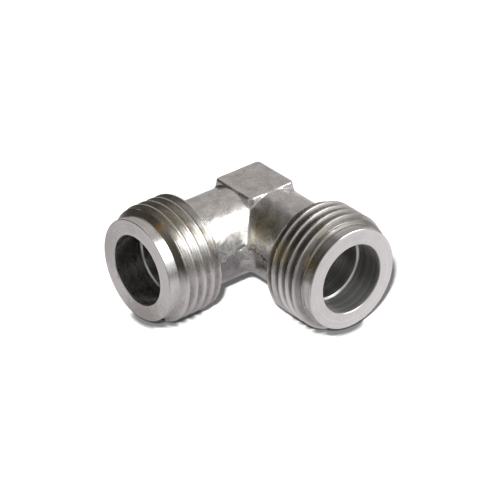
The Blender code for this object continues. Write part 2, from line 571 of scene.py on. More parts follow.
@dataclass(frozen=True)
class BoredSteel(PortSteel):
    """The drilled and counterbored flow way, darker and with coarse tool marks."""

    finish: Finish = Finish.BORED
    clean: Color = (0.87, 0.87, 0.855, 1.0)
    warm: Color = (0.66, 0.60, 0.53, 1.0)
    cold: Color = (0.71, 0.70, 0.72, 1.0)
    film: float = 0.25
    film_scale: float = 0.15
    roughness: float = 0.27
    smear: Range = (-0.02, 0.03)
    relief: float = 0.4
    relief_depth: float = 0.025 * MM
    port: Port = Port.X
    rings: float = 8.0
    seed: float = 7.0
    ring_tint: Color = (0.50, 0.50, 0.49, 1.0)
    ring_shade: float = 0.35
    shade: float = 0.0
    dust: float = 0.0
    dust_out: Range = (6.15, 6.3)
    dust_down: Range = (-3.0, -6.0)

    def build(self, effects: Effects) -> Material:
        """Make the material.

        Args:
            effects: the shared node groups.

        Returns:
            The new material.
        """
        material, sheet, at, marks = self.start(effects)
        film = self.filmed(sheet, effects, at["Wrap"], 1.0)
        rings = sheet.span(marks["Shade"], 0.0, 1.0, 0.0, self.ring_shade)
        color = sheet.blend(rings, film["Color"], self.ring_tint, "MULTIPLY")
        # Painted shade: the whole flow way darkens evenly towards black; only port X sets it
        if self.shade > 0.0:
            color = sheet.blend(self.shade, color, BLACK)
        rough = self.rough(sheet, marks["Smear"], 0.3, 0.7)
        metal: object = 1.0
        if self.dust > 0.0:
            up = sheet.split(at["Wrap"])[2]
            low = sheet.times(sheet.span(at["Radius"], *self.dust_out), sheet.span(up, *self.dust_down))
            metal = sheet.minus(1.0, sheet.times(low, self.dust))
        self.close(sheet, color, metal, rough, marks["Height"])
        return material


@dataclass(frozen=True)
class ForgedSkin(PlatedSteel):
    """Plating over the blasted skin of the forging: duller, mottled and finely pitted."""

    finish: Finish = Finish.FORGED
    clean: Color = (0.86, 0.85, 0.84, 1.0)
    warm: Color = (0.63, 0.59, 0.50, 1.0)
    cold: Color = (0.70, 0.66, 0.69, 1.0)
    film: float = 0.45
    film_scale: float = 0.4
    roughness: float = 0.25
    smear: Range = (0.14, -0.03)
    relief: float = 0.75
    relief_depth: float = 0.06 * MM
    mottle: float = 0.55
    mottle_tint: Color = (0.68, 0.67, 0.66, 1.0)
    pits: float = 0.3
    pit_tint: Color = (0.30, 0.28, 0.26, 1.0)
    tint_spots: tuple[TintSpot, ...] = (TintSpot((6.5, 9.0, 4.3), 1.5, 0.5, (0.58, 0.45, 0.20, 1.0)),
                                 TintSpot((7.5, 9.0, 2.4), 1.4, 0.3, (0.80, 0.64, 0.36, 1.0)),
                                 TintSpot((9.5, 5.2, 6.9), 1.5, 0.3, (0.66, 0.60, 0.34, 1.0)),
                                 # The next spot is a painted dark reflection: dark olive on the wall of port
                                 # Y's neck that faces the crotch
                                 TintSpot((7.0, 11.3, 3.7), 2.1, 0.55, (0.36, 0.32, 0.24, 1.0)),
                                 TintSpot((6.0, 9.5, 5.3), 4.0, 0.5, (0.66, 0.60, 0.40, 1.0)))
    # The worn place on the neck of port X
    worn_centre: Point = (10.8, 7.4, 1.3)
    worn_radius: float = 5.0
    worn_start: Range = (-0.3, 0.4)
    worn_blur: float = 0.20
    worn_film: float = 0.10
    worn_specks: Range = (0.42, 0.12)
    worn_shade: float = 0.55
    worn_tint: Color = (0.25, 0.25, 0.23, 1.0)
    # Where the crotch begins, the dull crease down its middle, the painted shade under the flash line, and the
    # trimmed flash line on its walls
    crotch_edge: Range = (6.2, 7.0)
    crease_dull: Range = (0.36, 0.6)
    crease_start: Range = (0.1, 0.5)
    crease_end: Range = (2.6, 1.2)
    below_edge: Range = (0.1, -0.4)
    below_lean: Range = (-2.5, 2.0)
    below_painted_shade: float = 0.5
    below_tint: Color = (0.16, 0.14, 0.16, 1.0)
    line_run: Range = (9.3, 13.5)
    line_height: Range = (1.55, 0.2)
    line_edge: Range = (0.15, 0.06)
    line_wander: float = 0.3
    line_shade: Range = (0.45, 0.95)
    line_tint: Color = (0.10, 0.09, 0.08, 1.0)

    def build(self, effects: Effects) -> Material:
        """Make the material.

        Args:
            effects: the shared node groups.

        Returns:
            The new material.
        """
        material, sheet = new_material(self.finish.value)
        place = sheet.place()
        wrap = effects.coordinates.put(sheet, {"Place": place, "Turn": 0.0})["Wrap"]
        skin = effects.forge.put(sheet, {"Place": place})
        mottle = skin["Mottle"]
        x, y, z = sheet.split(wrap)
        lean = sheet.minus(x, y)
        off = self.above_line(sheet, wrap, x, y, z)
        crotch = sheet.span(sheet.math("MINIMUM", x, y), *self.crotch_edge)
        worn = effects.spot.put(sheet, {"Wrap": wrap, "Centre": self.worn_centre, "Radius": self.worn_radius,
                                        "Strength": sheet.span(lean, *self.worn_start)})["Mask"]
        color = self.filmed(sheet, effects, wrap, 1.0)["Color"]
        patches = sheet.span(mottle, 0.0, 1.0, self.mottle, 0.0)
        color = sheet.blend(patches, color, self.mottle_tint, "MULTIPLY")
        color = sheet.blend(sheet.times(skin["Pits"], self.pits), color, self.pit_tint)
        specks = sheet.times(sheet.span(mottle, *self.worn_specks), worn, self.worn_shade)
        color = sheet.blend(specks, color, self.worn_tint)
        for overlay in self.tint_spots:
            color = overlay.over(sheet, effects, wrap, color)
        # Painted shade: violet-black darkening under the flash line in the crotch, heavier towards the neck of
        # port X
        below = sheet.times(sheet.span(off, *self.below_edge),
                            sheet.span(lean, *self.below_lean, 0.0, self.below_painted_shade), crotch)
        color = sheet.blend(below, color, self.below_tint)
        line = sheet.times(sheet.span(sheet.math("ABSOLUTE", off), *self.line_edge),
                           sheet.span(mottle, 0.9, 0.2, *self.line_shade), crotch)
        color = sheet.blend(line, color, self.line_tint)
        rough = sheet.plus(self.rough(sheet, mottle, 0.0, 1.0), sheet.times(worn, self.worn_blur))
        crease = sheet.times(sheet.span(lean, *self.crease_start), sheet.span(lean, *self.crease_end), crotch,
                             sheet.span(off, 0.0, 0.6), sheet.span(mottle, 0.0, 0.7, *self.crease_dull))
        dull = sheet.math("MAXIMUM", sheet.times(worn, self.worn_film), crease)
        self.close(sheet, color, sheet.minus(1.0, dull), rough, skin["Height"])
        return material

    def above_line(self, sheet: NodeSheet, wrap: Socket, x: Socket, y: Socket, z: Socket) -> Socket:
        """Height over the wandering line that the trimmed flash left along the walls of the crotch.

        Args:
            sheet: the material's sheet.
            wrap: the coordinates of port X.
            x: distance along port X, in millimetres.
            y: distance along port Y, in millimetres.
            z: height over the axes, in millimetres.

        Returns:
            The height in millimetres, negative below the line.
        """
        out = sheet.math("MAXIMUM", x, y)
        level = sheet.span(out, *self.line_run, *self.line_height, smooth=False)
        wander = sheet.span(sheet.noise(wrap, 1.1, 2.0), 0.3, 0.7, -self.line_wander, self.line_wander)
        return sheet.plus(sheet.minus(z, level), wander)


# Meshes


def link(name: str, data: bpy.types.ID) -> Object:
    """Make an object and link it to the scene.

    Args:
        name: the object's name.
        data: its mesh, lamp or camera.

    Returns:
        The new object.
    """
    thing = bpy.data.objects.new(name, data)
    bpy.context.scene.collection.objects.link(thing)
    return thing


def make_piece(name: str, points: Array, faces: list, slots: list[int] | Array) -> Object:
    """Link a smoothly shaded mesh to the scene as a piece.

    Args:
        name: the piece's name.
        points: one row of x, y, z for each vertex.
        faces: vertex numbers of each face, counter-clockwise from outside.
        slots: material slot of each face.

    Returns:
        The new object.
    """
    mesh = bpy.data.meshes.new(name)
    mesh.from_pydata(points.tolist(), [], faces)
    mesh.validate()
    mesh.polygons.foreach_set("material_index", slots)
    mesh.polygons.foreach_set("use_smooth", [True] * len(faces))
    return link(name, mesh)


@dataclass
class ThreadedEnd:
    """One turned and threaded end: sealing face, smooth lead, pipe thread, shoulder and counterbored mouth."""

    port: Port
    crest_from_face: float
    pitch: float = 25.4 / 14 * MM
    half_angle: float = math.radians(27.5)
    crest_rounding: float = 0.10 * MM
    root_rounding: float = 0.25 * MM
    pilot_radius: float = 9.25 * MM
    pilot_length: float = 2.1 * MM
    lead_chamfer: float = 0.8 * MM
    back_chamfer: float = 0.6 * MM
    face_chamfer: float = 0.09 * MM
    mouth_chamfer: float = 0.13 * MM
    step_lead: float = 0.085 * MM
    counterbore_radius: float = 6.35 * MM
    counterbore_depth: float = 5.8 * MM
    length: float = CENTRE_TO_FACE - SHOULDER
    columns: int = 288
    arc_steps: int = 5
    flank_steps: int = 4
    weld_step: float = 0.0001 * MM
    sharp_angle: float = math.radians(32)

    def angles(self) -> Array:
        """The turn of each column of the mesh round the axis."""
        return 2 * math.pi * np.arange(self.columns) / self.columns

    def section(self) -> tuple[Array, Array]:
        """One pitch of the thread's rounded section, crest to crest.

        Returns:
            The shares of the pitch, from 0 up to but without 1, and the radius at each.
        """
        lean = math.pi / 2 - self.half_angle
        half = self.pitch / 2
        depth = THREAD_RADIUS - ROOT_RADIUS
        arc = np.linspace(0.0, lean, self.arc_steps + 1)
        fillets = self.crest_rounding + self.root_rounding
        sloped = (depth - fillets * (1 - math.cos(lean))) * math.tan(self.half_angle)
        crest = half - sloped - fillets * math.sin(lean) + self.crest_rounding * np.sin(arc)
        crest_fall = self.crest_rounding * (1 - np.cos(arc))
        root = half - self.root_rounding * np.sin(arc[::-1])
        root_fall = depth - self.root_rounding * (1 - np.cos(arc[::-1]))
        flank = np.linspace(crest[-1], root[0], self.flank_steps + 1)[1:-1]
        flank_fall = np.linspace(crest_fall[-1], root_fall[0], self.flank_steps + 1)[1:-1]
        run = np.concatenate([[0.0], crest, flank, root])
        fall = np.concatenate([[0.0], crest_fall, flank_fall, root_fall])
        run = np.concatenate([run, self.pitch - run[-2:0:-1]])
        fall = np.concatenate([fall, fall[-2:0:-1]])
        return run / self.pitch, THREAD_RADIUS - fall

    def envelope(self, depth: Array | float) -> Array:
        """Radius of the turned blank under the thread.

        Args:
            depth: distance back from the sealing face.

        Returns:
            The blank's radius there.
        """
        lead, back = self.pilot_length, self.length - self.back_chamfer
        radius = [self.pilot_radius, THREAD_RADIUS, THREAD_RADIUS, THREAD_RADIUS - self.back_chamfer]
        return np.interp(depth, [lead, lead + self.lead_chamfer, back, self.length], radius)

    def thread(self) -> tuple[Array, Array, Array]:
        """Grid of the threaded stretch, whose lines run along the helix.

        Returns:
            Depth from the face and radius of each grid point, and the vertex numbers of the grid's quads.
        """
        shares, radii = self.section()
        per_turn = len(shares)
        start = self.pilot_length
        first = math.floor((start - self.crest_from_face) / self.pitch) - 1
        turns = math.ceil((self.length - self.crest_from_face) / self.pitch) - first
        lines = per_turn * turns + 1
        number = np.arange(lines)
        phase = first + number // per_turn + shares[number % per_turn]
        turned = self.angles() / (2 * math.pi)
        raw = self.crest_from_face + self.pitch * (phase[None, :] + turned[:, None])
        depth = np.clip(raw, start, self.length)
        radius = np.minimum(np.broadcast_to(radii[number % per_turn], raw.shape), self.envelope(depth))
        for edge in (start, self.length):
            edge_phase = ((edge - self.crest_from_face) / self.pitch - turned) % 1.0
            there = np.interp(edge_phase, np.append(shares, 1.0), np.append(radii, radii[0]))
            limit = np.minimum(there, self.envelope(edge))
            radius = np.where(depth == edge, limit[:, None], radius)
        index = np.arange(self.columns * lines).reshape(self.columns, lines)
        wrapped = index[0, np.minimum(number + per_turn, lines - 1)]
        table = np.vstack([index, wrapped[None, :]])
        quads = np.stack([table[:-1, :-1], table[1:, :-1], table[1:, 1:], table[:-1, 1:]], axis=-1)
        return depth, radius, quads.reshape(-1, 4)

    def build(self) -> Object:
        """Build the closed mesh of the end.

        Returns:
            The piece, with material slot 0 for the turned skin and 1 for the flow way.
        """
        depth, radius, quads = self.thread()
        inner, mouth = self.counterbore_radius, self.mouth_chamfer
        front = [(mouth, inner), (0.0, inner + mouth), (0.0, self.pilot_radius - self.face_chamfer),
                 (self.face_chamfer, self.pilot_radius), (self.pilot_length, self.pilot_radius)]
        back = [(self.length, BORE_RADIUS), (self.counterbore_depth + self.step_lead, BORE_RADIUS),
                (self.counterbore_depth, BORE_RADIUS + self.step_lead), (self.counterbore_depth, inner),
                (mouth, inner)]
        rings = np.array(front + back)
        depths = np.concatenate([depth.ravel(), np.tile(rings[:, 0], self.columns)])
        radii = np.concatenate([radius.ravel(), np.tile(rings[:, 1], self.columns)])
        turns = np.concatenate([np.repeat(self.angles(), count) for count in (depth.shape[1], len(rings))])
        grid = np.arange(depth.size).reshape(depth.shape)
        base = depth.size + np.arange(self.columns * len(rings)).reshape(self.columns, len(rings))
        last = len(front) - 1
        strips = [(base[:, k], base[:, k + 1], int(k == 0 or k > last))
                  for k in range(len(rings) - 1) if k != last]
        strips += [(base[:, last], grid[:, 0], 0), (grid[:, -1], base[:, last + 1], 0)]
        faces = [quads]
        kinds = [np.zeros(len(quads), dtype=int)]
        for first, second, kind in strips:
            faces.append(np.stack([first, np.roll(first, -1), np.roll(second, -1), second], axis=-1))
            kinds.append(np.full(self.columns, kind))
        points = self.port.place(CENTRE_TO_FACE - depths, radii * np.sin(turns), radii * np.cos(turns))
        return self.weld(points, np.concatenate(faces), np.concatenate(kinds))

    def weld(self, points: Array, quads: Array, kinds: Array) -> Object:
        """Join points that coincide and drop faces that have collapsed.

        Args:
            points: all points, with repeats where strips meet.
            quads: vertex numbers of the faces.
            kinds: material slot of each face.

        Returns:
            The piece.
        """
        keys = np.round(points / self.weld_step).astype(np.int64)
        _, keep, merged = np.unique(keys, axis=0, return_index=True, return_inverse=True)
        faces = []
        slots = []
        for quad, kind in zip(merged.reshape(-1)[quads].tolist(), kinds.tolist()):
            ring = [v for k, v in enumerate(quad) if v != quad[k - 1]]
            if len(ring) >= 3 and len(set(ring)) == len(ring):
                faces.append(tuple(ring))
                slots.append(kind)
        piece = make_piece(f"threaded_end_{self.port.value}", points[keep], faces, slots)
        piece.data.set_sharp_from_angle(angle=self.sharp_angle)
        return piece


@dataclass
class ForgedCorner:
    """The forged corner: two round necks, spanner flats above and below, the flash line and the flow way."""

    neck_radius: float = 7.9 * MM
    heel_radius: float = 3.5 * MM
    # Heights over the axes and the fillet's radius in the crotch at each
    crotch: tuple[Range, ...] = ((-7.2 * MM, 0.3 * MM), (-4.6 * MM, 1.3 * MM), (-1.5 * MM, 2.4 * MM),
                                 (1.15 * MM, 2.9 * MM), (1.45 * MM, 1.3 * MM), (3.2 * MM, 0.7 * MM),
                                 (5.2 * MM, 0.25 * MM))
    flat_height: float = 8.1 * MM
    flat_outer: float = 4.95 * MM
    upper_inner: float = 4.85 * MM
    lower_inner: float = 3.4 * MM
    draft: float = math.radians(7)
    flat_edge: float = 0.35 * MM
    flat_corner: float = 0.9 * MM
    flat_foot: float = 0.35 * MM
    flat_seam: float = 0.1 * MM
    flash_proud: float = 0.13 * MM
    flash_inside: float = 0.04 * MM
    flash_half: float = 0.45 * MM
    flash_fillet: float = 2.9 * MM
    flash_edge: float = 0.15 * MM
    drill_past: float = 1.5 * MM
    drill_half_angle: float = math.radians(59)
    drill_play: float = 0.01 * MM
    way_margin: float = 0.1 * MM
    end_overlap: float = 0.2 * MM
    end_margin: float = 0.3 * MM
    ripple: float = 0.03 * MM
    cell: float = 0.21 * MM
    margin_cells: int = 3
    slope_step: float = 0.02 * MM
    pulls: int = 4

    @staticmethod
    def round_join(first: Array, second: Array, radius: Array | float) -> Array:
        """Join two solids, each given by the distances to it, with a fillet of this radius."""
        near = np.hypot(np.maximum(radius - first, 0.0), np.maximum(radius - second, 0.0))
        return np.maximum(radius, np.minimum(first, second)) - near

    def round_cut(self, first: Array, second: Array, radius: float) -> Array:
        """Keep what two solids share, with an edge rounded by this radius."""
        return -self.round_join(-first, -second, radius)

    def reach(self, x: Array, y: Array, half: Array | float, fillet: Array | float) -> Array:
        """How far out a point lies from the bent centre line, seen from above.

        Args:
            x: distance along port X.
            y: distance along port Y.
            half: half width of the elbow at the point's level.
            fillet: radius of the fillet in the crotch at that level.

        Returns:
            The half width of the elbow whose side wall passes through the point.
        """
        share = self.heel_radius / self.neck_radius
        straight = 1.0 - share
        far = np.maximum(np.abs(x), np.abs(y))
        near = np.minimum(np.abs(x), np.abs(y))
        total = far + near
        scale = 2 * straight ** 2 - share ** 2
        inside = np.maximum((straight * total) ** 2 - scale * (far ** 2 + near ** 2), 0.0)
        rounded = (straight * total - np.sqrt(inside)) / scale
        heel = np.where(near <= straight * far, far, rounded)
        crotch = half + self.round_join(x - half, y - half, fillet)
        arm = np.where(x > 0, np.abs(y), np.abs(x))
        return np.where((x > 0) & (y > 0), crotch, np.where((x <= 0) & (y <= 0), heel, arm))

    def flat(self, x: Array, y: Array, up: Array, inner: float) -> Array:
        """Distance to one spanner boss.

        Args:
            x: distance along port X.
            y: distance along port Y.
            up: height over the axes, or depth under them for the boss below.
            inner: how far the boss reaches towards the crotch.

        Returns:
            Distances to the boss.
        """
        middle = (inner - self.flat_outer) / 2
        wall = (inner + self.flat_outer) / 2 + (self.flat_height - up) * math.tan(self.draft)
        across = self.round_cut(np.abs(x - middle) - wall, np.abs(y - middle) - wall, self.flat_corner)
        capped = self.round_cut(across, up - self.flat_height, self.flat_edge)
        return self.round_cut(capped, -up, self.flat_seam)

    def solid(self, points: Array) -> Array:
        """Distance field of the whole corner.

        Args:
            points: rows of x, y, z about the crossing of the axes.

        Returns:
            About the distance to the surface, negative inside.
        """
        x, y, z = points.T
        half = self.neck_radius * np.sqrt(np.clip(1.0 - (z / self.neck_radius) ** 2, 0.0, 1.0))
        levels, radii = zip(*self.crotch)
        width = self.reach(x, y, half, np.interp(z, levels, radii))
        body = np.where(width < 0, np.abs(z), np.hypot(np.maximum(width, 0.0), z)) - self.neck_radius
        proud = np.where((x > 0) & (y > 0), self.flash_inside, self.flash_proud)
        trim = self.reach(x, y, self.neck_radius, self.flash_fillet) - self.neck_radius - proud
        flash = self.round_cut(trim, np.abs(z) - self.flash_half, self.flash_edge)
        body = self.round_join(body, flash, self.flash_edge)
        body = self.round_join(body, self.flat(x, y, z, self.upper_inner), self.flat_foot)
        body = self.round_join(body, self.flat(x, y, -z, self.lower_inner), self.flat_foot)
        body = np.maximum(body - self.ripples(x, y, z), np.maximum(x, y) - SHOULDER - self.end_overlap)
        ways = np.minimum(self.drilled(x, np.hypot(y, z)), self.drilled(y, np.hypot(x, z)))
        return np.maximum(body, -ways)

    def drilled(self, along: Array, away: Array) -> Array:
        """Distance to one drilled way with its drill point, which ends past the crossing.

        Args:
            along: distance out along the port's axis.
            away: distance from the axis.

        Returns:
            Distances to the drilled way.
        """
        radius = BORE_RADIUS + self.drill_play
        tip = self.drill_past + radius / math.tan(self.drill_half_angle)
        cone = away * math.cos(self.drill_half_angle) - (along + tip) * math.sin(self.drill_half_angle)
        return np.maximum(away - radius, cone)

    def ripples(self, x: Array, y: Array, z: Array) -> Array:
        """Slow unevenness of the forged skin.

        Args:
            x: distance along port X.
            y: distance along port Y.
            z: height over the axes.

        Returns:
            How far the skin stands proud.
        """
        a, b, c = x / MM, y / MM, z / MM
        wave = (np.sin(1.1 * a + 0.7 * b + 1.3) * np.sin(0.9 * c + 0.4 * a + 0.2)
                + 0.6 * np.sin(2.3 * b - 1.7 * a + 0.5) * np.sin(1.9 * c + 1.1)
                + 0.4 * np.sin(3.1 * a + 2.2 * c) * np.sin(2.7 * b - 1.3 * c + 0.8))
        return self.ripple * (wave - 1.0) * 0.5

    def gradient(self, points: Array) -> Array:
        """Slope of the distance field.

        Args:
            points: rows of x, y, z about the crossing of the axes.

        Returns:
            One row of slopes for each point.
        """
        shifts = self.slope_step * np.eye(3)
        slopes = [self.solid(points + shift) - self.solid(points - shift) for shift in shifts]
        return np.stack(slopes, axis=-1) / (2 * self.slope_step)

    def net(self) -> tuple[Array, Array]:
        """Net of quads over the distance field, one vertex in each cell that the surface crosses.

        Returns:
            The vertices and the quads.
        """
        margin = self.margin_cells * self.cell
        low = np.array([-self.neck_radius, -self.neck_radius, -self.flat_height]) - margin
        high = np.array([SHOULDER, SHOULDER, self.flat_height]) + self.end_overlap + margin
        counts = np.ceil((high - low) / self.cell).astype(int) + 1
        axes = [start + self.cell * np.arange(count) for start, count in zip(low, counts)]
        grid = np.stack(np.meshgrid(*axes, indexing="ij"), axis=-1).reshape(-1, 3)
        field = self.solid(grid).reshape(counts)
        cells = counts - 1
        total = np.zeros(cells)
        place = np.zeros((*cells, 3))
        for axis, corner in itertools.product(range(3), itertools.product((0, 1), repeat=3)):
            if corner[axis]:
                continue
            other = tuple(int(n == axis or corner[n]) for n in range(3))
            here, there = (field[tuple(slice(c, c + n) for c, n in zip(end, cells))]
                           for end in (corner, other))
            crossed = (here < 0) != (there < 0)
            share = np.where(crossed, here / np.where(crossed, here - there, 1.0), 0.0)
            total += crossed
            for n in range(3):
                place[..., n] += share if n == axis else crossed * corner[n]
        active = total > 0
        number = np.full(cells, -1)
        number[active] = np.arange(int(active.sum()))
        points = low + self.cell * (np.argwhere(active) + place[active] / total[active][:, None])
        return points, np.concatenate([self.quads(field < 0, number, axis) for axis in range(3)])

    def quads(self, inside: Array, number: Array, axis: int) -> Array:
        """The quads round those grid edges along one axis that the surface crosses.

        Args:
            inside: whether each grid point lies in the solid.
            number: the vertex number of each cell.
            axis: 0, 1 or 2 for x, y or z.

        Returns:
            The vertex numbers of the quads.
        """
        first, second = (axis + 1) % 3, (axis + 2) % 3
        start = np.delete(inside, -1, axis=axis)
        edges = np.argwhere(start != np.delete(inside, 0, axis=axis))
        edges = edges[(edges[:, first] > 0) & (edges[:, second] > 0)]
        around = []
        for back in ((1, 1), (0, 1), (0, 0), (1, 0)):
            cell = edges.copy()
            cell[:, [first, second]] -= back
            around.append(number[tuple(cell.T)])
        ring = np.stack(around, axis=-1)
        return np.where(start[tuple(edges.T)][:, None], ring, ring[:, ::-1])

    def build(self) -> Object:
        """Build the closed mesh of the corner.

        Returns:
            The piece, with material slot 0 for the forged skin and 1 and 2 for the flow ways.
        """
        points, quads = self.net()
        for _ in range(self.pulls):
            slope = self.gradient(points)
            size = np.maximum((slope ** 2).sum(axis=1), 0.25)
            step = (self.solid(points) / size)[:, None] * slope
            length = np.linalg.norm(step, axis=1, keepdims=True)
            points = points - step * np.minimum(1.0, 0.5 * self.cell / np.maximum(length, 1e-12))
        slope = self.gradient(points)
        normals = slope / np.maximum(np.linalg.norm(slope, axis=1, keepdims=True), 1e-9)
        x, y, z = points[quads].mean(axis=1).T
        away = np.where(x > y, np.hypot(y, z), np.hypot(x, z))
        far = np.max(np.abs([x, y, z]), axis=0)
        drilled = (away < BORE_RADIUS + self.way_margin) & (far < SHOULDER + self.end_margin)
        slots = np.where(drilled, np.where(x > y, 1, 2), 0)
        piece = make_piece("forged_corner", points + np.array([0.0, 0.0, AXIS_HEIGHT]), quads.tolist(), slots)
        piece.data.normals_split_custom_set_from_vertices(normals.tolist())
        return piece


# Studio


class StudioPanel(Effect):
    """One soft-edged panel of the reflection tent, laid over what is behind it."""

    label = "studio panel"
    takes = {"Turn": FLOAT, "Lift": FLOAT, "Behind": COLOR, "Glow": COLOR, "Middle": FLOAT,
             "Half Width": FLOAT, "Low": FLOAT, "High": FLOAT, "Edge": FLOAT}
    gives = {"Color": COLOR}

    def wire(self, sheet: NodeSheet, given: Outputs) -> dict[str, Socket]:
        """Blend the panel's glow over the glow behind it, inside its angles.

        Args:
            sheet: the group's sheet.
            given: the direction, the glow behind and the panel's own values, all angles in degrees.

        Returns:
            The glow seen in this direction.
        """
        off = sheet.minus(given["Turn"], given["Middle"])
        off = sheet.add("Math", {0: off, 1: 180.0, 2: -180.0}, operation="WRAP").outputs[0]
        gaps = (sheet.minus(given["Half Width"], sheet.math("ABSOLUTE", off)),
                sheet.minus(given["Lift"], given["Low"]), sheet.minus(given["High"], given["Lift"]))
        shares = [sheet.math("ADD", sheet.math("DIVIDE", gap, given["Edge"]), 0.5, clamp=True) for gap in gaps]
        inside = sheet.span(sheet.times(*shares), 0.0, 1.0)
        return {"Color": sheet.blend(inside, given["Behind"], given["Glow"])}


class Glow(Enum):
    """The colours of the studio's panels, each for a level of 1."""

    WHITE = (1.0, 1.0, 0.985)
    WARM_GREY = (1.0, 0.94, 0.92)
    OLIVE = (1.0, 0.90, 0.68)
    ROSE_GREY = (1.0, 0.955, 0.965)
    VIOLET_GREY = (1.0, 0.965, 0.995)

    def at(self, level: float) -> Color:
        """The colour at a level."""
        return (self.value[0] * level, self.value[1] * level, self.value[2] * level, 1.0)


@dataclass(frozen=True)
class Panel:
    """A softbox, a grey card or a dark flag, by its angles from the photograph's side and its level."""

    middle: float
    half_width: float
    low: float
    high: float
    level: float
    glow: Glow = Glow.WARM_GREY
    edge: float = 10.0


@dataclass(frozen=True)
class ReflectionTent:
    """The dome of soft panels round the elbow, which only its reflections show."""

    name: str = "reflection_tent"
    radius: float = 0.45
    segments: int = 48
    plain: float = 0.42
    panels: tuple[Panel, ...] = (
        Panel(180.0, 40.0, -40.0, 58.0, 0.45),
        Panel(140.0, 34.0, 36.0, 70.0, 0.56),
        Panel(-30.0, 70.0, 14.0, 46.0, 0.50, Glow.WHITE),
        Panel(0.0, 180.0, 62.0, 95.0, 0.30, Glow.WHITE),
        Panel(-100.0, 60.0, 42.0, 72.0, 0.20),
        Panel(-118.0, 42.0, -14.0, 48.0, 0.065, Glow.OLIVE, 7.0),
        Panel(-65.0, 22.0, -14.0, 16.0, 0.20, Glow.OLIVE),
        Panel(5.0, 62.0, -16.0, 10.0, 0.16, Glow.ROSE_GREY),
        Panel(28.0, 32.0, 10.0, 42.0, 0.58, Glow.WHITE),
        Panel(82.0, 25.0, 8.0, 30.0, 0.75, Glow.WHITE, 5.0),
        Panel(82.5, 24.5, 27.5, 60.0, 3.8, Glow.WHITE, 4.0),
    )

    def glow(self) -> Material:
        """Make the material of the dome.

        Returns:
            The new material.
        """
        material, sheet = new_material(self.name)
        way = sheet.add("VectorMath", {0: sheet.place()}, operation="NORMALIZE").outputs[0]
        turned = sheet.add("VectorRotate", {"Vector": way, "Angle": -FRONT}, rotation_type="Z_AXIS").outputs[0]
        x, y, z = sheet.split(turned)
        turn = sheet.math("DEGREES", sheet.math("ARCTAN2", x, sheet.times(y, -1.0)))
        lift = sheet.math("DEGREES", sheet.math("ARCSINE", z))
        effect = StudioPanel()
        color: object = Glow.WARM_GREY.at(self.plain)
        for panel in self.panels:
            color = effect.put(sheet, {"Turn": turn, "Lift": lift, "Behind": color,
                                       "Glow": panel.glow.at(panel.level), "Middle": panel.middle,
                                       "Half Width": panel.half_width, "Low": panel.low, "High": panel.high,
                                       "Edge": panel.edge})["Color"]
        shine = sheet.add("Emission", {"Color": color, "Strength": 1.0})
        sheet.add("OutputMaterial", {"Surface": shine.outputs[0]})
        material.cycles.emission_sampling = "NONE"
        return material

    def build(self) -> Object:
        """Build the dome and its glow.

        Returns:
            The dome.
        """
        mesh = bpy.data.meshes.new(self.name)
        shell = bmesh.new()
        bmesh.ops.create_uvsphere(shell, u_segments=self.segments, v_segments=self.segments // 2,
                                  radius=self.radius)
        shell.to_mesh(mesh)
        shell.free()
        mesh.materials.append(self.glow())
        dome = link(self.name, mesh)
        dome.location = MIDDLE
        for kind in ("camera", "diffuse", "shadow", "transmission", "volume_scatter"):
            setattr(dome, f"visible_{kind}", False)
        return dome


@dataclass(frozen=True)
class Fade:
    """Where the floor's reflection darkens: from start to end metres out, at a turn from the front."""

    turn: float
    start: float
    end: float
    share: float


